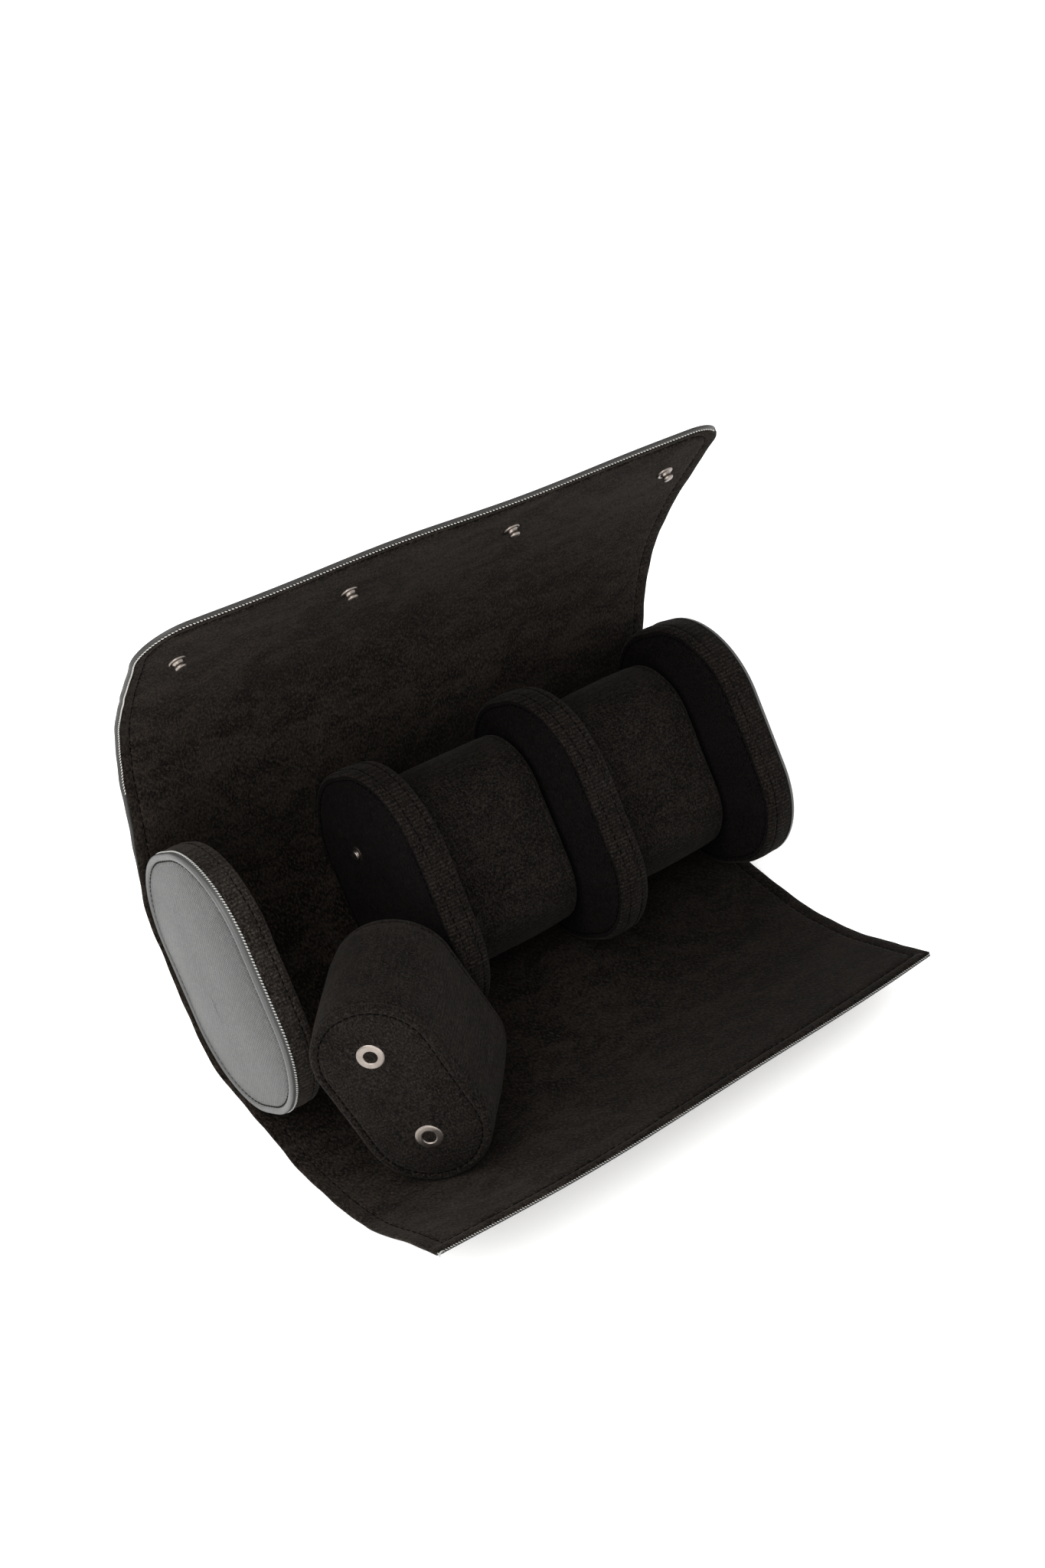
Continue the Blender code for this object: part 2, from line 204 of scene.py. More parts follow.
def suede(name, base, brushed, sheen, fineness=1.0, cloudy=1.0, ribs=0.0, painted_shade=0.0):
    """Dense short nap: brushed patches, mottling, fine fibres, ribs, specks of lint, and painted
    shade towards the front right.
    """
    look = Look(name, Roughness=0.93, Specular_IOR_Level=0.03, Sheen_Weight=sheen,
                Sheen_Roughness=0.45, Sheen_Tint=(0.72, 0.66, 0.60, 1))
    patches = look.noise((26, 40, 33), 5, 0.62, 20, 1.6)
    crushed = look.noise((64, 96, 80), 5, 0.66, -15, 1.1)
    mottle = look.noise(190, 5, 0.68)
    fibres = look.noise(times((1250, 760, 1000), fineness), 4, 0.78, 35)
    lint = look.noise(900, 2, 0.5, 70)
    colour = look.tint(times(base, 1 - brushed), times(base, 1 + brushed), patches, 0.4, 0.6)
    colour = look.tints(colour, base,
                        (1.8, crushed, 0.5, 0.66, 0.0, 0.8 * cloudy),
                        (0.4, crushed, 0.36, 0.49, 0.75 * cloudy, 0.0),
                        (1.9, mottle, 0.5, 0.66, 0.0, 0.45 * cloudy),
                        (0.4, mottle, 0.36, 0.5, 0.45 * cloudy, 0.0),
                        (0.12, fibres, 0.36, 0.5, 0.95, 0.0),
                        (3.6, fibres, 0.5, 0.66, 0.0, 0.9))
    if painted_shade:
        # painted shade: the colour darkens towards the front right, where less light falls
        place = look.node("SeparateXYZ")
        look.link(look.lay, place.inputs[0])
        right = look.span(place.outputs["X"], -70 * MM, 95 * MM, 0, painted_shade)
        front = look.span(place.outputs["Y"], 165 * MM, 85 * MM, 0, 1)
        colour = look.mix(look.math('MULTIPLY', right, front), colour, times(base, 0.1))
    if ribs:
        lines = look.bands(780, 90, 1.6)
        colour = look.tints(colour, base, (0.25, lines, 0.1, 0.7, ribs, 0.0))
        look.bump(lines, 0.5, 0.15 * MM)
    look.feed("Base Color", look.tint(colour, LINT, lint, 0.75, 0.8, 0.0, 0.4))
    look.bump(crushed, 0.3, 0.9 * MM)
    look.bump(mottle, 0.3, 0.4 * MM)
    look.bump(fibres, 0.8, 0.3 * MM)
    return look.made


def saffiano(name, base):
    """Cross-hatched pressed leather with a satin coat."""
    look = Look(name, Specular_IOR_Level=0.3)
    first, second = look.bands(1080, 58, 1.4), look.bands(1080, -52, 1.4)
    weave = look.math('MAXIMUM', first, second)
    cross = look.math('MULTIPLY', first, second)
    cloud = look.noise((13, 19, 16), distortion=0.6)
    specks = look.noise(620, 4, 0.7)
    grain = look.noise(2600, 2, 0.6)
    colour = look.tint(times(base, 0.74), times(base, 1.1), cloud, 0.36, 0.64)
    colour = look.tints(colour, base,
                        (0.5, specks, 0.36, 0.5, 0.8, 0.0),
                        (1.45, specks, 0.5, 0.64, 0.0, 0.7),
                        (0.3, weave, 0.1, 0.95, 0.9, 0.0),
                        (1.725, cross, 0.55, 1.0, 0.0, 0.5))
    look.feed("Base Color", colour)
    look.feed("Roughness", look.span(grain, 0.3, 0.7, 0.36, 0.52))
    look.bump(grain, 0.12, 0.03 * MM)
    look.bump(weave, 0.7, 0.1 * MM)
    look.bump(cross, 0.4, 0.05 * MM)
    return look.made


def smooth_leather(name, base):
    """A turned edge: the same hide stretched nearly smooth, with fine pores."""
    look = Look(name, Specular_IOR_Level=0.35)
    pores = look.noise(1500, rough=0.65)
    colour = look.tint(times(base, 0.88), times(base, 1.1), look.noise(60), 0.3, 0.7)
    look.feed("Base Color", look.tints(colour, base, (0.6, pores, 0.3, 0.5, 0.35, 0.0)))
    look.feed("Roughness", look.span(pores, 0.3, 0.7, 0.33, 0.5))
    look.bump(pores, 0.2, 0.04 * MM)
    look.bump(look.bands(1300, 30, 2.0), 0.15, 0.03 * MM)
    return look.made


def thread(name, base, rough=0.5, shine=0.4):
    """Twisted thread."""
    look = Look(name, Roughness=rough, Specular_IOR_Level=shine)
    twist = look.bands(2600, 35, 0.3)
    colour = look.tint(times(base, 0.55), times(base, 1.15), twist, 0.1, 0.9)
    colour = look.tints(colour, base, (0.75, look.noise(1800, 2), 0.35, 0.7, 0, 0.35))
    look.feed("Base Color", colour)
    look.bump(twist, 0.5, 0.05 * MM)
    return look.made


def nickel(name, base, low, high):
    """Plated press-stud metal with faint turning marks and handling haze."""
    look = Look(name, Metallic=1.0)
    haze = look.noise(300, 4, 0.6)
    look.feed("Base Color", look.tint(base, times(base, 0.78), haze, 0.35, 0.7))
    look.feed("Roughness", look.span(haze, 0.3, 0.7, low, high))
    look.bump(look.noise((5200, 900, 2000), 2), 0.08, 0.02 * MM)
    return look.made


# the lining has painted shade, darker towards the front right
LINING_SUEDE = suede("wrap_suede", (0.0074, 0.0058, 0.0047), brushed=0.62, sheen=0.04,
                     cloudy=1.2, painted_shade=0.6)
# the walls' faces: a darker suede, with the shade inside the compartments painted in
WALL_SUEDE_AND_SHADE = suede("wall_suede_and_painted_shade", (0.0022, 0.0017, 0.0017), brushed=0.3, sheen=0.01,
                   fineness=1.4, cloudy=0.5)
# one band suede in two copies: painted shade on the dividers' and the right cap's bands, painted
# light on the left cap's band
SHADED_BAND_SUEDE = suede("band_suede_painted_shade", (0.0062, 0.0050, 0.0043), brushed=0.25, sheen=0.03,
                   fineness=1.4, cloudy=0.4, ribs=0.6)
LIT_BAND_SUEDE = suede("band_suede_painted_light", (0.0115, 0.0096, 0.0082), brushed=0.25, sheen=0.05,
                  fineness=1.5, cloudy=0.5, ribs=0.5)
CUSHION_SUEDE = suede("cushion_suede", (0.0062, 0.0051, 0.0044), brushed=0.3, sheen=0.035,
                      fineness=1.5, cloudy=0.5, ribs=0.22)
LEATHER = saffiano("saffiano_leather", (0.066, 0.067, 0.065))
CAP_LEATHER = saffiano("cap_leather", (0.046, 0.047, 0.045))
RIM_LEATHER = smooth_leather("turned_rim_leather", (0.056, 0.057, 0.055))
LIP_LEATHER = smooth_leather("turned_lip_leather", (0.019, 0.018, 0.017))
# the darkest edge leather: the sides' own dark edge, and painted shade along the front edge
DARK_RIM_AND_FRONT_SHADE = smooth_leather("wrap_edge_leather", (0.016, 0.015, 0.014))
PALE_THREAD = thread("pale_thread", (0.42, 0.42, 0.40))
RIM_THREAD = thread("rim_thread", (0.5, 0.485, 0.455))
SIDE_LEATHER = smooth_leather("cap_side_leather", (0.040, 0.039, 0.037))
DARK_THREAD = thread("dark_thread", (0.010, 0.009, 0.008), rough=0.8, shine=0.05)
SEAM_THREAD = thread("seam_thread", (0.0016, 0.0013, 0.0012), rough=0.9, shine=0.02)
# nickel, darkened and warmed as painted reflection of the dark suede around the studs
STUD_METAL = nickel("stud_nickel", (0.27, 0.235, 0.21), 0.26, 0.44)
# near-black nickel: painted shade inside the sockets' holes
BORE_METAL_SHADED = nickel("socket_bore_metal_painted_shade", (0.035, 0.031, 0.028), 0.25, 0.4)


# ---- mesh help

THREAD_SIDES = 6
THREAD_FLAT = 0.8  # a thread's height over its width
TIP = 0.35  # the radius at a thread's ends over its radius
WELD = 1e-6


def placed(name, data):
    """A new object in the scene."""
    item = bpy.data.objects.new(name, data)
    bpy.context.scene.collection.objects.link(item)
    return item


def mesh_object(name, verts, faces, look, lay, others=(), marks=None):
    """A mesh object with its lay coordinates, in metres; faces marked n take the nth other."""
    mesh = bpy.data.meshes.new(name)
    mesh.from_pydata([tuple(v) for v in verts], [], faces)
    attribute = mesh.attributes.new("lay", 'FLOAT_VECTOR', 'POINT')
    attribute.data.foreach_set("vector", np.asarray(lay, np.float32).ravel())
    for each in (look, *others):
        mesh.materials.append(each)
    if others:
        mesh.polygons.foreach_set("material_index", marks)
    mesh.shade_smooth()
    return placed(name, mesh)


def swept_faces(rings, count, closed=(True, True)):
    """Faces between rings of count points each, and over the ends that are closed."""
    faces = [(k * count + i, k * count + (i + 1) % count,
              (k + 1) * count + (i + 1) % count, (k + 1) * count + i)
             for k in range(rings - 1) for i in range(count)]
    if closed[0]:
        faces.append(tuple(reversed(range(count))))
    if closed[1]:
        faces.append(tuple(range((rings - 1) * count, rings * count)))
    return faces


class Bundle:
    """Many small meshes gathered into one object."""

    def __init__(self):
        self.verts, self.faces, self.lay = [], [], []

    def add(self, verts, faces, lay):
        base = len(self.verts)
        self.verts += verts
        self.lay += [tuple(v) for v in lay]
        self.faces += [tuple(base + i for i in f) for f in faces]

    def thread(self, points, radius, up=Vector((0, 0, 1))):
        """A slightly flattened thread along the points, with rounded ends."""
        verts = []
        last = len(points) - 1
        for i, p in enumerate(points):
            ahead = (points[min(i + 1, last)] - points[max(i - 1, 0)]).normalized()
            side = ahead.cross(up).normalized()
            top = side.cross(ahead)
            size = radius * (TIP if i in (0, last) else 1.0)
            for k in range(THREAD_SIDES):
                a = 2 * math.pi * k / THREAD_SIDES
                verts.append(p + side * math.cos(a) * size
                             + top * math.sin(a) * size * THREAD_FLAT)
        self.add(verts, swept_faces(len(points), THREAD_SIDES), verts)

    def make(self, name, look):
        return mesh_object(name, self.verts, self.faces, look, self.lay)


def merged(verts, faces, lay, marks):
    """Welds points that coincide and drops the faces that this empties."""
    key = np.round(verts / WELD).astype(np.int64)
    _, first, back = np.unique(key, axis=0, return_index=True, return_inverse=True)
    back = back.ravel().tolist()
    kept, kept_marks = [], []
    for f, mark in zip(faces, marks):
        ring = []
        for i in f:
            if not ring or ring[-1] != back[i]:
                ring.append(back[i])
        if len(ring) > 1 and ring[0] == ring[-1]:
            ring.pop()
        if len(set(ring)) >= 3:
            kept.append(tuple(ring))
            kept_marks.append(mark)
    return verts[first], kept, lay[first], kept_marks


# ---- the wrap

def round_line():
    """Lining's face round the walls, from the floor to the flap's foot, as (y, z)."""
    radius = WALL_CORNER + WRAP_CLEAR
    long_inset, wide_inset = WALL_HEIGHT / 2 - WALL_CORNER, WALL_WIDTH / 2 - WALL_CORNER
    lower = WALL_CENTRE - LONG * long_inset - OUT * wide_inset
    upper = WALL_CENTRE + LONG * long_inset - OUT * wide_inset
    # the wrap lies flat on the floor as far as the first rise, and is close from the second
    flat, close = math.radians(12.9), math.radians(45)
    sag = radius / math.cos(flat) - radius
    points = []
    for step in range(41):
        rise = LEAN * step / 40
        if rise < flat:
            r = radius / math.cos(rise)
        else:
            r = radius + sag * max(0.0, (close - rise) / (close - flat)) ** 2
        points.append((lower.y + r * math.sin(rise), lower.z - r * math.cos(rise)))
    for step in range(1, 31):
        rise = LEAN + (math.pi / 2 - LEAN) * step / 30
        points.append((upper.y + radius * math.sin(rise), upper.z - radius * math.cos(rise)))
    return points


def heading(degrees, length):
    return np.array([math.cos(math.radians(degrees)), math.sin(math.radians(degrees))]) * length


PANEL_HINGES = [joint_point(f"front_panel_{n}") for n in ("curl_3", "curl_2", "lift")]
FLAP_HINGES = [joint_point(f"back_flap_{n}")
               for n in ("close", "curl_2", "curl_3", "curl_4", "curl_5")]
LINE = [PANEL_HINGES[0] + heading(PANEL_ANGLE, PANEL_LAST), *PANEL_HINGES,
        *[np.array(p) for p in round_line()], *FLAP_HINGES,
        FLAP_HINGES[-1] + heading(FLAP_ANGLE, FLAP_LAST)]


def lengths_along(points):
    return np.r_[0, np.cumsum(np.linalg.norm(np.diff(points, axis=0), axis=1))]


STEP, REACH = 0.4 * MM, 60  # the line's spacing, and how many steps a blur reaches
STRONG_BLUR, LIGHT_BLUR = 7 * MM, 0.8 * MM
CHANGE = 14 * MM  # over how far one blur gives way to the other


def smoothed(points):
    """An evenly spaced line through the points, rounded where the strips are hinged."""
    points = np.array(points)
    gaps = lengths_along(points)
    s = np.arange(0, gaps[-1], STEP)
    line = np.stack([np.interp(s, gaps, points[:, k]) for k in (0, 1)], 1)
    before = line[0] + (line[0] - line[1]) * np.arange(REACH, 0, -1)[:, None]
    after = line[-1] + (line[-1] - line[-2]) * np.arange(1, REACH + 1)[:, None]
    padded = np.concatenate([before, line, after])

    def blurred(sigma):
        x = np.arange(-REACH, REACH + 1) * STEP
        kernel = np.exp(-x ** 2 / (2 * sigma ** 2))
        kernel /= kernel.sum()
        return np.stack([np.convolve(padded[:, k], kernel, 'valid') for k in (0, 1)], 1)

    strong, light = blurred(STRONG_BLUR), blurred(LIGHT_BLUR)
    floor_end, round_end = s_near(line, PANEL_HINGES[-1]), s_near(line, FLAP_HINGES[0])
    index = np.arange(len(line))
    near = CHANGE / STEP
    weight = np.clip(np.maximum((floor_end + near - index) / near,
                                (index - round_end + near * 0.3) / near), 0, 1)[:, None]
    weight = weight ** 2 * (3 - 2 * weight)
    return strong * weight + light * (1 - weight)


def s_near(line, point):
    return int(np.argmin(np.linalg.norm(line - np.asarray(point), axis=1)))


BASE = smoothed(LINE)
ARC = lengths_along(BASE)
TANGENT = np.gradient(BASE, axis=0)
TANGENT /= np.linalg.norm(TANGENT, axis=1)[:, None]
WRAP_LENGTH = float(ARC[-1])
S_PANEL = [float(ARC[s_near(BASE, p)]) for p in PANEL_HINGES]
S_FLAP = [float(ARC[s_near(BASE, p)]) for p in FLAP_HINGES]
S_FOOT = S_FLAP[0]


def eased(t):
    t = np.clip(t, 0, 1)
    return t * t * (3 - 2 * t)


def sway(x, s):
    """How far the soft wrap stands outward of its even curve."""
    across = x / WRAP_HALF
    flap = eased((s - S_FOOT) / (62 * MM))
    rise = np.clip((s - S_FOOT) / (WRAP_LENGTH - S_FOOT), 0, 1)
    # the flap leans, more on the left, with one wide wave, a hollow and small waves
    out = flap * (4.2 * MM - 4.8 * MM * across)
    out += flap * (0.9 * MM * np.sin(2.3 * across + 4 * rise) * rise
                   - 1.2 * MM * (across ** 2) * rise)
    out += flap * rise * MM * (0.3 * np.sin(5.2 * across + 62 * s + 1.0)
                               + 0.25 * np.sin(9.0 * across - 105 * s))
    # the front edge rises to its right corner, and the left corner bulges
    front = np.clip((S_PANEL[0] + 6 * MM - s) / (S_PANEL[0] + 6 * MM), 0, 1)
    lift = front ** 1.6 * (-1.5 * MM * (1 - across ** 2) - (3.0 - 0.7 * across) * MM * across
                           + 0.5 * MM * np.sin(5 * across + 0.7))
    left = np.clip((-across - 0.6) / 0.4, 0, 1) ** 1.5
    lift += left * 2.3 * MM * np.sin(math.pi * np.clip(s / (40 * MM), 0, 1))
    return out - lift


def slanted(x, s):
    """Place along the curve: both free edges slant across the roll, the flap's a little less
    on the right, and the slant fades out two strips in."""
    front = eased((CUTS[1] - s) / (CUTS[1] - 4 * MM))
    back = eased((s - CUTS[-2]) / (WRAP_LENGTH - 28 * MM - CUTS[-2]))
    across = x / WRAP_HALF
    return s + EDGE_SLANT * (across * front + (0.8 * across - 0.42) * back)


def on_wrap(x, s, h):
    """Points of the wrap: across the roll, along the wrap, and above the lining's face."""
    x, s, h = np.broadcast_arrays(*(np.asarray(a, float) for a in (x, s, h)))
    # both side edges wander a little
    x = x + (x / WRAP_HALF) ** 9 * MM * (0.16 * np.sin(97 * s) + 0.14 * np.sin(233 * s + 1)
                                         + 0.07 * np.sin(510 * s + 2))
    s = slanted(x, s)
    inside = np.clip(s, 0, WRAP_LENGTH)
    beyond = s - inside
    y, z, ty, tz = (np.interp(inside, ARC, row) for row in (*BASE.T, *TANGENT.T))
    size = np.hypot(ty, tz)
    ty, tz = ty / size, tz / size
    off = h - sway(x, s)
    return np.stack([x, y + ty * beyond - tz * off, z + tz * beyond + ty * off], -1)


# how far the bends reach past the outer hinges: the panel's front and back, and the flap's
PANEL_FRONT, PANEL_BACK, FLAP_REACH = 12 * MM, 13 * MM, 9 * MM
CUTS = [0.0, (S_PANEL[0] + S_PANEL[1]) / 2, (S_PANEL[1] + S_PANEL[2]) / 2,
        S_PANEL[2] + PANEL_BACK, S_FLAP[0] - FLAP_REACH,
        *[(a + b) / 2 for a, b in zip(S_FLAP, S_FLAP[1:])], WRAP_LENGTH]
# each piece lies between two of the bodies, from one of the bends to the next
BODIES = [*(f"front_panel_{i}" for i in (3, 2, 1)), "root", "root",
          *(f"back_flap_{i}" for i in range(1, 6))]
BENDS = [S_PANEL[0] - PANEL_FRONT, *CUTS[1:-1], S_FLAP[-1] + FLAP_REACH]
LAST = len(CUTS) - 2


def fasten(item, span):
    """Make a piece of the wrap ride with its body where both its bodies are the same; otherwise
    only bake its transform.
    """
    first, second = BODIES[span:span + 2]
    start, end = BENDS[span:span + 2]
    if first == second:
        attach(item, first)
    else:
        tuple(on_wrap(0, start, 0))
        tuple(on_wrap(0, end, 0))
        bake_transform(item)


def edge_samples(step=1.6 * MM, fine_x=2.4 * MM):
    """Places round the wrap's outline, from the front left corner round by the flap."""
    rows = [FRONT_CORNER]
    stops = [FRONT_CORNER, *CUTS[1:-1], WRAP_LENGTH - FLAP_CORNER]
    for low, high in zip(stops, stops[1:]):
        count = max(1, round((high - low) / step))
        rows += [low + (high - low) * (i + 1) / count for i in range(count)]
    half_end, half_front = WRAP_HALF - FLAP_CORNER, WRAP_HALF - FRONT_CORNER
    arc = [math.radians(4.5 * i) for i in range(1, 20)]
    ends, fronts = round(2 * half_end / fine_x), round(2 * half_front / fine_x)
    samples = [("side", -1, s) for s in rows]
    samples += [("round", -1, a) for a in arc]
    samples += [("end", 0, -half_end + 2 * half_end * i / ends) for i in range(ends + 1)]
    samples += [("round", 1, a) for a in reversed(arc)]
    samples += [("side", 1, s) for s in reversed(rows)]
    samples += [("front_round", 1, math.radians(15 * i)) for i in range(1, 6)]
    samples += [("front", 0, half_front - 2 * half_front * i / fronts) for i in range(fronts + 1)]
    samples += [("front_round", -1, math.radians(90 - 15 * i)) for i in range(1, 6)]
    return samples


def ring_point(sample, d):
    """(x, s) of an outline sample moved inward by d."""
    kind, side, value = sample
    if kind == "side":
        return side * (WRAP_HALF - d), max(value, d) if d > 0 else value
    if kind == "round":
        r = FLAP_CORNER - d
        return (side * (WRAP_HALF - FLAP_CORNER + r * math.cos(value)),
                WRAP_LENGTH - FLAP_CORNER + r * math.sin(value))
    if kind == "end":
        return value, WRAP_LENGTH - d
    if kind == "front":
        limit = WRAP_HALF - max(d, FRONT_CORNER)
        return max(-limit, min(limit, value)), d
    r = max(0.0, FRONT_CORNER - d)
    corner = max(d, FRONT_CORNER)
    return side * (WRAP_HALF - corner + r * math.cos(value)), corner - r * math.sin(value)


def span_of(s):
    return max(i for i, low in enumerate(CUTS[:-1]) if s >= low)


def sample_span(first, second):
    """The piece of the wrap that the outline between two samples belongs to."""
    kinds = {first[0], second[0]}
    if kinds & {"end", "round"}:
        return LAST
    if kinds != {"side"}:
        return 0
    return span_of((first[2] + second[2]) / 2)


SAMPLES = edge_samples()


def wrap_layer(name, lip, over, look, layer, others=()):
    """One layer of the wrap, made of its border profile and its middle, cut at the spans."""
    flat_h = lip[-1][1]
    spans = [([], [], []) for _ in CUTS[1:]]  # points as (x, s, h), faces and their marks

    def place(span, points):
        """Add points and return their numbers."""
        start = len(spans[span][0])
        spans[span][0].extend(points)
        return range(start, start + len(points))

    def join(span, first, second, k, mark):
        """Add the face between two rows of points, after their kth."""
        spans[span][1].append((first[k + 1], second[k + 1], second[k], first[k]))
        spans[span][2].append(mark)

    for pair in zip(SAMPLES, SAMPLES[1:] + SAMPLES[:1]):
        span = sample_span(*pair)
        columns = []
        for sample in pair:
            share = lip_at(sample)
            items = []
            for (d1, h1), (d0, h0) in zip(lip, over):
                d, h = d0 + (d1 - d0) * share, h0 + (h1 - h0) * share
                items.append((*ring_point(sample, d), h))
            columns.append(place(span, items))
        # the front edge takes the darkest leather as painted shade, the sides where the suede
        # turns over as their own dark edge
        front = all(sample[0].startswith("front") for sample in pair)
        edge = 2 if front or share < 0.5 else 1
        for k in range(len(lip) - 1):
            join(span, *columns, k, edge if k < LIP_FACES else 0)

    def half_at(s):
        over = s - (WRAP_LENGTH - FLAP_CORNER)
        if over <= 0:
            return WRAP_HALF - SHEET_IN
        r = FLAP_CORNER - SHEET_IN
        return WRAP_HALF - FLAP_CORNER + math.sqrt(max(0.0, r * r - over * over))

    rows = sorted({round(ring_point(s, SHEET_IN)[1], 9) for s in SAMPLES if s[1] <= 0})
    ends = sorted({round(s[2], 9) for s in SAMPLES if s[0] == "end"})
    shares = [e / ends[-1] for e in ends]
    for low, high in zip(rows, rows[1:]):
        span = span_of((low + high) / 2)
        made = [place(span, [(share * half_at(s), s, flat_h) for share in shares])
                for s in (low, high)]
        for k in range(len(shares) - 1):
            join(span, *made, k, 0)
    for span, (points, faces, marks) in enumerate(spans):
        x, s, h = np.array(points).T
        lay = np.stack([x, slanted(x, s), h], 1)
        verts, faces, lay, marks = merged(on_wrap(x, s, h), faces, lay, marks)
        item = mesh_object(f"{name}_{span + 1}", verts, faces, look, lay, others, marks)
        fasten(item, span)
        nodes = [f"{strip}_{layer}" for strip in STRIPS[span]]
        if nodes:
            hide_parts(*nodes)
        low, high = CUTS[span], CUTS[span + 1]


def in_metres(profile):
    return [(d * MM, h * MM) for d, h in profile]


# Border profiles as (inset, height above the lining's face): with a turned leather lip, and
# with the suede turned over.
LINING_LIP = in_metres([
    (1.3, -1.2), (1.4, -0.55), (1.6, -0.16), (2.1, 0.04), (2.8, 0.05), (3.7, 0.0), (4.4, -0.12),
    (4.75, -0.36), (5.0, -0.44), (5.25, -0.36), (5.6, -0.12), (6.2, 0.02), (8.5, 0), (12, 0)])
LINING_OVER = in_metres([
    (0.5, -1.52), (0.14, -1.2), (0.0, -0.82), (0.22, -0.36), (0.85, -0.06), (2.2, 0.03),
    (4.2, -0.1), (4.65, -0.3), (4.9, -0.38), (5.15, -0.3), (5.5, -0.1), (6.2, 0.02), (8.5, 0),
    (12, 0)])
LEATHER_TAIL = [(0.95, -1.5), (1.8, -1.62), (3.2, -1.78), (3.9, -1.78), (4.3, -1.66),
                (4.7, -1.84), (5.4, -2.15), (8, -2.75), (12, -2.9)]
LEATHER_LIP = in_metres([
    (1.9, -0.7), (1.75, -0.35), (1.5, -0.08), (1.15, 0.03), (0.8, 0.0), (0.45, -0.12),
    (0.18, -0.32), (0.02, -0.56), (0, -0.8), (0.12, -1.05), (0.4, -1.3), *LEATHER_TAIL])
LEATHER_OVER = in_metres([
    (1.4, -1.08), (1.25, -1.1), (1.1, -1.13), (0.95, -1.16), (0.8, -1.2), (0.7, -1.23),
    (0.62, -1.27), (0.55, -1.31), (0.5, -1.36), (0.48, -1.42), (0.56, -1.48), *LEATHER_TAIL])
LIP_FACES = 13  # how many steps of the leather's border show as its lip


def lip_at(sample):
    """1 where the leather's lip shows on the inside, 0 where the suede is turned over."""
    kind, side, value = sample
    if kind == "end":
        return 1.0
    if kind in ("front", "front_round"):
        return 0.4
    if kind == "round":
        return 1.0 if side < 0 else float(eased(value / math.radians(80)))
    if side > 0:
        return 0.0
    return float(0.12 + 0.88 * eased((value - S_FOOT + 12 * MM) / (50 * MM)))


STRIPS = (["front_panel_3"], ["front_panel_2"], ["front_panel_1"], ["spine"], [],
          ["back_flap_1"], ["back_flap_2"], ["back_flap_3", "back_flap_4"], ["back_flap_5"])
wrap_layer("lining", LINING_LIP, LINING_OVER, LINING_SUEDE, "lining")
wrap_layer("outer_leather", LEATHER_LIP, LEATHER_OVER, LEATHER, "leather",
           (LIP_LEATHER, DARK_RIM_AND_FRONT_SHADE))


def walk(d):
    """Positions (x, s) along the outline at inset d, and its length."""
    points = np.array([ring_point(s, d) for s in SAMPLES])
    keep = [0]
    for i in range(1, len(points)):
        if np.linalg.norm(points[i] - points[keep[-1]]) > 1e-6:
            keep.append(i)
    points = points[keep + [keep[0]]]
    lengths = lengths_along(points)

    def at(t):
        return np.array([np.interp(t % lengths[-1], lengths, row) for row in points.T])

    return at, lengths[-1]


def wrap_stitches(name, insets, heights, pitch, slant, radius, arch, look, wanted=None):
    """Threads along the wrap's outline, everywhere or where wanted says, each from the first
    inset and height to the second; sizes in millimetres."""
    (d0, d1), (h0, h1) = times(insets, MM), times(heights, MM)
    pitch, slant, radius, arch = times((pitch, slant, radius, arch), MM)
    middle = 0.5 * (d0 + d1)
    at, total = walk(middle)
    bundles = {}
    count = int(total / pitch)
    for i in range(count):
        t = i * total / count
        x, s = at(t)
        if wanted and not wanted(x, s):
            continue
        ahead = at(t + slant / 2) - at(t - slant / 2)
        ahead /= np.linalg.norm(ahead)
        inward = np.array([ahead[1], -ahead[0]])
        line = []
        for k in range(5):
            u = k / 4
            d = d0 + (d1 - d0) * u
            p = at(t) + ahead * (u - 0.5) * slant + inward * (d - middle)
            h = h0 + (h1 - h0) * u + arch * math.sin(math.pi * u)
            line.append(Vector(on_wrap(*p, h)))
        up = Vector(on_wrap(x, s, MM)) - Vector(on_wrap(x, s, 0))
        bundles.setdefault(span_of(s), Bundle()).thread(line, radius, up.normalized())
    for span, bundle in sorted(bundles.items()):
        fasten(bundle.make(f"{name}_{span + 1}", look), span)


def on_flap_lip(x, s):
    return s > (S_FOOT + 34 * MM if x < 0 else WRAP_LENGTH - 6 * MM)


def on_front_edge(x, s):
    return s < 1.2 * MM


wrap_stitches("rim_stitch", (0.75, 1.2), (0.02, 0.08), 1.15, 0.9, 0.2, 0.12, RIM_THREAD,
              on_flap_lip)
wrap_stitches("front_stitch", (0.3, 0.7), (-0.98, -0.6), 0.95, 0.6, 0.13, 0.08, PALE_THREAD,
              on_front_edge)
wrap_stitches("lining_seam", (5.0, 5.0), (-0.4, -0.4), 3.0, 2.3, 0.16, 0.12, SEAM_THREAD)
wrap_stitches("leather_seam", (4.3, 4.3), (-1.8, -1.8), 3.0, 2.2, 0.25, -0.2, PALE_THREAD)

# the cut end of the edge thread at the front left corner, in millimetres from it
THREAD_END = ((2.8, 0.7, -0.7), (1.9, 0.2, -0.55), (1.0, -0.3, -0.6), (0.4, -0.9, -0.75),
              (0.2, -1.6, -1.0))
cut_end = Bundle()
cut_end.thread([Vector(on_wrap(dx * MM - WRAP_HALF, s * MM, h * MM)) for dx, s, h in THREAD_END],
               0.32 * MM)
fasten(cut_end.make("thread_end", PALE_THREAD), 0)


# ---- stadium-shaped pieces

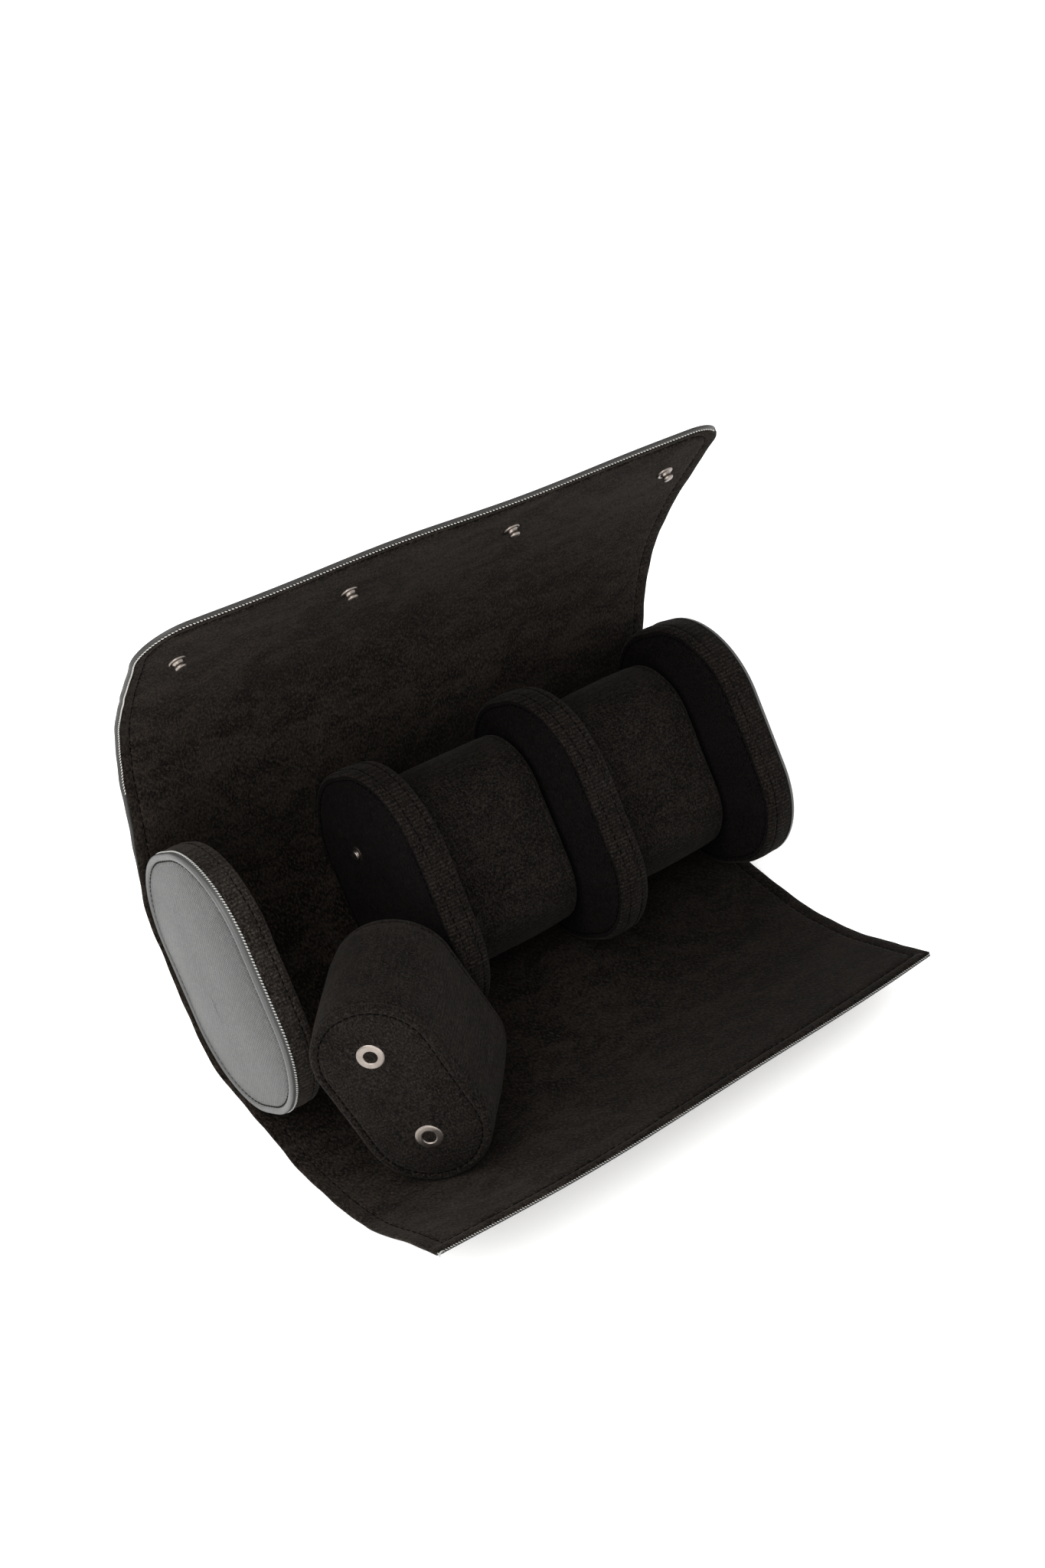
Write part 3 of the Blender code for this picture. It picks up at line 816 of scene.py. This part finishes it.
Stitch = namedtuple("Stitch", "inset pitch slant radius arch rise on_band", defaults=(0, False))
FACE_SEAM = Stitch(2.95, 2.6, 1.9, 0.17, 0.2)  # in millimetres
BAND_SEAM = Stitch(0.2, 2.6, 1.9, 0.17, 0.16, 0, True)
CAP_SEAM = Stitch(2.75, 2.2, 1.6, 0.22, 0.22)
CAP_STITCH = Stitch(0.12, 1.05, 0.7, 0.24, 0.16, 0.75, True)
CUSHION_SEAM = Stitch(3.05, 2.5, 1.8, 0.17, 0.2)
BAND_INSET = 1.4 * MM  # faces nearer to the outline than this belong to the band
FACE_DEPTH, BAND_DEPTH = 0.42 * MM, 3.25 * MM  # the walls' seams, below the nominal face
TINY = 1e-9


def stadium(width, height, radius, step=1.9 * MM):
    """A rounded outline's centres and normals, u across and v along, and its radius."""
    cu, cv = width / 2 - radius, height / 2 - radius
    corners = [(cu, cv, 0), (-cu, cv, 90), (-cu, -cv, 180), (cu, -cv, 270)]
    samples = []
    for i, (u, v, start) in enumerate(corners):
        count = max(6, round(radius * math.pi / 2 / step))
        for k in range(count + 1):
            a = math.radians(start + 90 * k / count)
            samples.append((u, v, math.cos(a), math.sin(a)))
        nu, nv, _ = corners[(i + 1) % 4]
        a = math.radians(start + 90)
        more = round(math.hypot(nu - u, nv - v) / step)
        for k in range(1, more):
            f = k / more
            samples.append((u + (nu - u) * f, v + (nv - v) * f, math.cos(a), math.sin(a)))
    array = np.array(samples)
    edge = array[:, :2] + array[:, 2:] * radius
    gaps = np.linalg.norm(np.roll(edge, -1, 0) - edge, axis=1)
    return array[gaps > 1e-7], radius


def ring_of(shape, inset):
    outline, radius = shape
    return outline[:, :2] + outline[:, 2:] * (radius - inset)


def shell(name, shape, profile, place, look, ripple=None, closed=(True, True), band_look=None):
    """A shell swept round an outline; profile is (inset, height) pairs along local Z.

    The rows near the outline itself take the band's look."""
    count = len(shape[0])
    lay = np.concatenate([np.c_[ring_of(shape, d), np.full(count, w)] for d, w in profile])
    verts = lay if ripple is None else ripple(lay)
    faces = swept_faces(len(profile), count, closed)
    matrix = np.array(place)
    world = verts @ matrix[:3, :3].T + matrix[:3, 3]
    if band_look is None:
        return mesh_object(name, world, faces, look, lay)
    marks = [int(max(a[0], b[0]) < BAND_INSET)
             for a, b in zip(profile, profile[1:]) for _ in range(count)]
    marks += [0] * (len(faces) - len(marks))
    return mesh_object(name, world, faces, look, lay, (band_look,), marks)


def frame_matrix(origin, x_axis, y_axis, z_axis):
    turn = Matrix((x_axis, y_axis, z_axis)).transposed()
    return Matrix.Translation(origin) @ turn.to_4x4()


def turned_to(place, sign):
    """A place's own frame, or turned over to its other side."""
    return place @ Matrix.Rotation(math.pi if sign < 0 else 0, 4, 'Y')


def outline_stitches(bundle, shape, place, height, stitch):
    """Threads round an outline at a height; those on the band arch outward."""
    inset, pitch, slant, thick, arch, rise = times(stitch[:6], MM)
    rows = np.c_[ring_of(shape, inset), shape[0][:, 2:]]
    rows = np.concatenate([rows, rows[:1]])
    lengths = lengths_along(rows[:, :2])
    total = lengths[-1]
    count = int(total / pitch)
    for i in range(count):
        line = []
        for k in range(5):
            f = k / 4 - 0.5
            at = (i * total / count + slant * f) % total
            u, v, nu, nv = (np.interp(at, lengths, row) for row in rows.T)
            out = Vector((nu, nv, 0) if stitch.on_band else (0, 0, 1)).normalized()
            lift = arch * math.cos(math.pi * f)
            line.append(place @ (Vector((u, v, height + rise * f)) + out * lift))
        bundle.thread(line, thick, (place.to_3x3() @ out).normalized())


# ---- walls

WALL = stadium(WALL_WIDTH, WALL_HEIGHT, WALL_CORNER)
# Profiles as (inset, height above the nominal face), in millimetres. A soft side has its band,
# edge, sewn groove and padded face.
SOFT_SIDE = [(-0.02, -3.7), (0.12, -3.4), (0.28, -3.25), (0.12, -3.1), (0.0, -2.9), (0.0, -2.6),
             (0.06, -1.7), (0.3, -0.95), (0.75, -0.4), (1.35, -0.1), (2.0, 0.0), (2.45, -0.12),
             (2.75, -0.42), (2.95, -0.5), (3.15, -0.42), (3.5, -0.12), (4.2, 0.02), (6.5, 0.16),
             (10, 0.3), (15, 0.38), (22, 0.4), (29, 0.4), (32.2, 0.4)]
OPEN_SIDE = [(0.1, -1.4), (0.3, -0.7), (0.7, -0.25), (1.3, -0.1)]
BAND_MIDDLE = (-0.12 * MM, 0.6 * MM)
CAP_FACE = [(2.8, -0.5), (3.05, -0.34), (3.5, -0.05), (4.7, 0.25), (7, 0.66), (10.5, 1.1),
            (15, 1.55), (21, 1.9), (27, 2.05), (32.2, 2.1)]
CAP_RIM = [(0.06, -1.15), (0.0, -0.8), (0.06, -0.35), (0.3, 0.02), (0.7, 0.2), (1.15, 0.25),
           (1.65, 0.2), (2.1, 0.03), (2.4, -0.25), (2.6, -0.5), (2.75, -0.62), (2.95, -0.62)]
CAP_SIDE = [(1.0, -2.6), (0.45, -2.4), (0.2, -2.05), (0.12, -1.6), (0.2, -1.25), (0.5, -1.05)]


def wall_place(x, outward):
    """Local Z points along X towards outward's side."""
    side = ACROSS * outward
    return frame_matrix(Vector((x, WALL_CENTRE.y, WALL_CENTRE.z)), LONG.cross(side), LONG, side)


def wall_ripple(seed, depth=0.22 * MM):
    """Moves points in and out by smooth noise."""
    def move(verts):
        made = verts.copy()
        for i, (u, v, w) in enumerate(verts):
            p = Vector((u, v, w))
            n = noise.noise(p * 55 + Vector((seed, 0, 0)))
            m = noise.noise(p * 170 + Vector((0, seed, 0)))
            out = 0.8 * n / (math.hypot(u, v) + TINY)
            made[i] += depth * np.array([out * u, out * v, n + 0.35 * m])
        return made
    return move


def wall_cover(name, low, high, cap_side, seed, replaced, band_look):
    """Suede round a wall from its low to its high face; a cap's leather side stays open."""
    middle, half = (low + high) / 2, (high - low) / 2
    place = wall_place(middle, 1)
    soft, bare = ([(d, half + h) for d, h in in_metres(side)] for side in (SOFT_SIDE, OPEN_SIDE))
    top, bottom = (bare if cap_side == sign else [BAND_MIDDLE, *soft] for sign in (1, -1))
    profile = [(d, -w) for d, w in reversed(bottom)] + top
    item = shell(name, WALL, profile, place, WALL_SUEDE_AND_SHADE, wall_ripple(seed),
                 (cap_side >= 0, cap_side <= 0), band_look)
    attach(item, "root")
    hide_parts(*replaced)
    seams = Bundle()
    for sign in (1, -1):
        if cap_side != sign:
            side = turned_to(place, sign)
            outline_stitches(seams, WALL, side, half - FACE_DEPTH, FACE_SEAM)
            outline_stitches(seams, WALL, side, half - BAND_DEPTH, BAND_SEAM)
    made = seams.make(f"{name}_seam", SEAM_THREAD)
    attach(made, "root")


def cap_face(name, x, outward, seed, replaced, side_shows):
    """The leather face of an end cap: padded middle, sewn groove and smooth turned rim."""
    place = wall_place(x, outward)
    parts = [("face", CAP_FACE, CAP_LEATHER, wall_ripple(seed, 0.16 * MM), (False, True)),
             ("rim", CAP_RIM, RIM_LEATHER, None, (False, False))]
    seams = [("seam", -0.5 * MM, CAP_SEAM, DARK_THREAD)]
    if side_shows:
        parts.append(("side", CAP_SIDE, SIDE_LEATHER, None, (False, False)))
        seams.append(("stitch", -1.95 * MM, CAP_STITCH, PALE_THREAD))
    pieces = [shell(f"{name}_{tail}", WALL, in_metres(profile), place, look, ripple, closed)
              for tail, profile, look, ripple, closed in parts]
    for item in pieces:
        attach(item, "root")
    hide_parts(*replaced)
    for tail, height, stitch, look in seams:
        bundle = Bundle()
        outline_stitches(bundle, WALL, place, height, stitch)
        made = bundle.make(f"{name}_{tail}", look)
        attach(made, "root")


LEFT, FIRST, SECOND, RIGHT = WALL_STARTS
THICK_FACE, THIN_FACE = 1.9 * MM, 0.9 * MM  # the caps' leather, left and right
# the left cap's band takes the copy with painted light, the other bands the copy with painted
# shade
for wall, low, high, cap_side, seed, look in (
        ("left_cap", LEFT + THICK_FACE, LEFT + WALL_THICK, -1, 3.1, LIT_BAND_SUEDE),
        ("divider_1", FIRST, FIRST + WALL_THICK, 0, 7.7, SHADED_BAND_SUEDE),
        ("divider_2", SECOND, SECOND + WALL_THICK, 0, 12.9, SHADED_BAND_SUEDE),
        ("right_cap", RIGHT, RIGHT + WALL_THICK - THIN_FACE, 1, 18.3, SHADED_BAND_SUEDE)):
    wall_cover(f"{wall}_suede", low, high, cap_side, seed,
               [f"{wall}_band", f"{wall}_padded_board"], look)
cap_face("left_cap", LEFT, -1, 4.4, ["left_cap_leather"], True)
cap_face("right_cap", RIGHT + WALL_THICK, 1, 9.2, ["right_cap_leather"], False)


# ---- press studs

PLAIN_SIDES, KNURLED_SIDES = 48, 96
KNURL = 0.09 * MM  # the depth of a socket's knurling
KNURL_RING = (3.8 * MM, 4.58 * MM)
SINK, STAND = 0.3 * MM, 0.35 * MM  # a wall stud into its wall, a socket off its cushion
SOCKET_INSET = 9 * MM  # the panel's sockets from the second strip's hinge


def lathe(profile, places, segments, knurl):
    """A turned shape at each place; profile is (radius, height)."""
    bundle = Bundle()
    local = []
    for r, z in profile:
        for k in range(segments):
            a = 2 * math.pi * k / segments
            ridge = knurl * (k % 2) if KNURL_RING[0] < r < KNURL_RING[1] and z > 0 else 0.0
            local.append(Vector((r * math.cos(a), r * math.sin(a), z - ridge)))
    for place in places:
        bundle.add([place @ v for v in local], swept_faces(len(profile), segments), local)
    return bundle


def facing(origin, normal):
    """A frame at the origin with its Z along the normal."""
    normal = Vector(normal).normalized()
    side = ACROSS if abs(normal.x) < 0.5 else LONG
    other = normal.cross(side).normalized()
    return frame_matrix(Vector(origin), other.cross(normal).normalized(), other, normal)


# profiles as (radius, height), in millimetres
STUD = in_metres([
    (3.0, -0.2), (3.05, 0.1), (2.95, 0.4), (2.7, 0.55), (2.4, 0.6), (2.15, 0.55), (1.9, 0.72),
    (1.6, 1.05), (1.5, 1.4), (1.72, 1.7), (1.92, 2.1), (1.88, 2.5), (1.6, 2.82), (1.0, 3.0),
    (0.35, 3.04)])
LOW = 0.55  # a wall stud's height over a flap stud's
WALL_STUD = [(r, z * LOW) for r, z in STUD]
SOCKET = in_metres([
    (4.6, -0.3), (4.66, 0.05), (4.52, 0.3), (4.15, 0.46), (3.5, 0.5), (2.95, 0.52), (2.55, 0.6),
    (2.3, 0.52), (2.16, 0.25), (2.1, -0.3), (2.1, -1.1)])
BORE = in_metres([
    (2.15, 0.1), (2.05, -0.3), (1.95, -0.9), (1.6, -1.15), (1.1, -1.1), (0.8, -0.8), (0.4, -0.7),
    (0.1, -0.68)])
CAP = in_metres([
    (4.8, -0.3), (4.85, 0.05), (4.6, 0.35), (4.0, 0.6), (3.2, 0.78), (2.1, 0.92), (0.9, 1.0),
    (0.1, 1.01)])


def studs(name, profile, places, body, replaced=(), look=STUD_METAL, knurl=0.0):
    """One object of the same turned shape at several places."""
    made = lathe(profile, places, KNURLED_SIDES if knurl else PLAIN_SIDES, knurl).make(name, look)
    made.data.set_sharp_from_angle(angle=math.radians(50))
    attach(made, body)
    if replaced:
        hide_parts(*replaced)


def wrap_facing(x, s, h, sign):
    """A frame on the wrap, its Z towards the lining's side or away from it."""
    base, over = on_wrap(x, s, h), on_wrap(x, s, h + sign * MM)
    return facing(base, Vector(over) - Vector(base))


FLAP_X = [STUD_SPACING * (i - 1.5) for i in range(4)]
S_STUD = WRAP_LENGTH - STUD_INSET
S_SOCKET = S_PANEL[1] - SOCKET_INSET
studs("flap_studs", STUD, [wrap_facing(x, S_STUD, 0, 1) for x in FLAP_X], "back_flap_5",
      [f"flap_stud_{i}" for i in range(1, 5)])
studs("flap_stud_caps", CAP, [wrap_facing(x, S_STUD, -WRAP_THICK, -1) for x in FLAP_X],
      "back_flap_5")
SOCKET_PLACES = [wrap_facing(x, S_SOCKET, -WRAP_THICK, -1) for x in FLAP_X]
studs("panel_sockets", SOCKET, SOCKET_PLACES, "front_panel_2",
      [f"panel_socket_{i}" for i in range(1, 5)], knurl=KNURL)
studs("panel_socket_bores", BORE, SOCKET_PLACES, "front_panel_2", look=BORE_METAL_SHADED)

wall_places = []
for centre in CENTRES:
    for side in (1, -1):
        face = SEAT + ACROSS * (centre + side * (COMPARTMENT / 2 - SINK))
        for end in (-1, 1):
            wall_places.append(facing(face + LONG * end * SOCKET_SPACING / 2, -ACROSS * side))
studs("wall_studs", WALL_STUD, wall_places, "root", [f"wall_stud_{i}" for i in range(1, 7)])


# ---- cushions

CUSHION = stadium(CUSHION_WIDTH, CUSHION_HEIGHT, CUSHION_WIDTH / 2 - 0.2 * MM, 1.5 * MM)
HALF = CUSHION_LENGTH / 2
# (inset, height beyond the end) in millimetres: padded end, sewn groove, edge, seam and side
CUSHION_END = in_metres([
    (20.5, 0.55), (17, 0.52), (13, 0.42), (9, 0.26), (6, 0.1), (4.3, -0.05), (3.6, -0.22),
    (3.25, -0.5), (3.05, -0.62), (2.85, -0.5), (2.5, -0.2), (2.0, -0.02), (1.4, -0.06),
    (0.85, -0.3), (0.4, -0.75), (0.15, -1.4), (0.1, -2.1), (0.3, -2.75), (0.42, -2.95),
    (0.3, -3.15), (0.02, -3.8), (-0.15, -6), (-0.32, -10), (-0.42, -15), (-0.46, -20)])
CUSHION_PROFILE = [*((d, -HALF - h) for d, h in CUSHION_END), (-0.48 * MM, 0.0),
                   *((d, HALF + h) for d, h in reversed(CUSHION_END))]


def cushion_ripple(seed):
    """Wrinkles: wide ones all over, and puckers by the sewn ends."""
    def move(verts):
        made = verts.copy()
        for i, (u, v, w) in enumerate(verts):
            p = Vector((u, v, w))
            wide = noise.noise(p * 38 + Vector((seed, 2, 0)))
            close = noise.noise(p * 120 + Vector((0, seed, 5)))
            pucker = noise.noise(Vector((u * 260, v * 260, w * 40 + seed)))
            near_end = math.exp(-((HALF - abs(w)) / (7 * MM)) ** 2)
            amount = 0.42 * wide + 0.16 * close + 0.16 * pucker * near_end
            r = math.hypot(u, v * 0.6) + TINY
            side = min(1.0, max(0.0, (HALF - 1.2 * MM - abs(w)) / (2 * MM)))
            made[i, 0] += amount * MM * side * u / r
            made[i, 1] += amount * MM * side * v * 0.6 / r
            made[i, 2] += (1 - side) * (0.32 * wide + 0.1 * close) * MM * (1 if w > 0 else -1)
        return made
    return move


def cushion(number, place, seed):
    name = f"cushion_{number}"
    item = shell(f"{name}_suede", CUSHION, CUSHION_PROFILE, place, CUSHION_SUEDE,
                 cushion_ripple(seed))
    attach(item, name)
    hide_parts(*[f"{name}_{tail}" for tail in ("cover", "foam", "left_end", "right_end")])
    seams = Bundle()
    sockets = []
    for sign in (1, -1):
        side = turned_to(place, sign)
        outline_stitches(seams, CUSHION, side, HALF - 0.52 * MM, CUSHION_SEAM)
        sockets += [side @ Matrix.Translation((0, end * SOCKET_SPACING / 2, HALF + STAND))
                    for end in (-1, 1)]
    made = seams.make(f"{name}_seam", SEAM_THREAD)
    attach(made, name)
    studs(f"{name}_sockets", SOCKET, sockets, name, [f"{name}_socket_1", f"{name}_socket_2"],
          knurl=KNURL)
    studs(f"{name}_socket_bores", BORE, sockets, name, look=BORE_METAL_SHADED)


LOOSE_TURN = (-31.5, 10.5, 48)


def loose_place():
    """Where the loose cushion leans, as it stands in the CAD."""
    turn = Euler([math.radians(a) for a in LOOSE_TURN], 'XYZ').to_matrix()
    long_axis = turn @ Vector((0, 0, 1))
    side_axis = long_axis.cross(turn @ Vector((1, 0, 0)))
    return frame_matrix(node_middle("cushion_1_foam"), side_axis, long_axis,
                        side_axis.cross(long_axis))


cushion(1, loose_place(), 1.7)
for number, centre in ((2, CENTRES[1]), (3, CENTRES[2])):
    cushion(number, frame_matrix(SEAT + ACROSS * centre, -OUT, LONG, ACROSS), 4.3 * number)


# ---- stage, lights and camera

FLOOR_HALF = 6.0
FLOOR_DROP = 0.4 * MM
FOCAL_PIXELS, PHOTO_HEIGHT = 2883.6, 2048  # from the camera fitted to the photo
SENSOR = 36.0


def floor():
    mesh = bpy.data.meshes.new("floor")
    corners = ((-1, -1), (1, -1), (1, 1), (-1, 1))
    mesh.from_pydata([(x * FLOOR_HALF, y * FLOOR_HALF, 0) for x, y in corners], [],
                     [(0, 1, 2, 3)])
    look = bpy.data.materials.new("pale_floor")
    look.use_nodes = True
    # a lit sweep: it keeps the shadows as pale and narrow as the photo's
    set_inputs(look.node_tree.nodes["Principled BSDF"], Base_Color=(0.93, 0.93, 0.93, 1),
               Roughness=0.8, Emission_Color=(1.0, 0.985, 0.965, 1), Emission_Strength=0.3)
    mesh.materials.append(look)
    item = placed("floor", mesh)
    item.location = (0, 0, -FLOOR_DROP)


def area_light(name, place, target, size, power):
    data = bpy.data.lights.new(name, 'AREA')
    data.shape = 'RECTANGLE'
    data.size, data.size_y = size
    data.energy = power
    item = placed(name, data)
    item.location = place
    item.rotation_euler = (Vector(target) - item.location).to_track_quat('-Z', 'Y').to_euler()


floor()
area_light("key", (-0.8, -0.2, 1.1), (-0.05, -0.05, 0.05), (1.2, 1.1), 20.0)
area_light("back", (-0.2, 0.85, 0.95), (0, 0, 0.05), (1.2, 0.6), 1.5)
area_light("front_fill", (-0.75, -1.1, 0.3), (-0.05, -0.1, 0), (0.9, 0.5), 5.2)
area_light("right_fill", (0.75, -1.0, 0.55), (0.1, -0.2, 0), (1.0, 0.6), 0.8)

world = bpy.data.worlds.new("studio")
bpy.context.scene.world = world
world.use_nodes = True
set_inputs(world.node_tree.nodes["Background"], Color=(1, 1, 1, 1), Strength=0.95)

camera_data = bpy.data.cameras.new("camera")
camera_data.sensor_width = SENSOR
camera_data.lens = FOCAL_PIXELS / PHOTO_HEIGHT * SENSOR
camera_data.clip_start = 0.01
camera = placed("camera", camera_data)
RIGHT_AXIS = Vector((0.80130737, -0.59825287, 0.0)).normalized()
VIEW_AXIS = Vector((0.45323251, 0.60706488, -0.65272698)).normalized()
UP_AXIS = RIGHT_AXIS.cross(VIEW_AXIS)
turn = Matrix((RIGHT_AXIS, UP_AXIS, -VIEW_AXIS)).transposed().to_4x4()
FROM_WALLS = Vector((-325.51, -459.65, 516.67)) * MM
camera.matrix_world = Matrix.Translation(WALL_CENTRE + FROM_WALLS) @ turn
bpy.context.scene.camera = camera
bpy.context.scene.view_settings.view_transform = 'Standard'
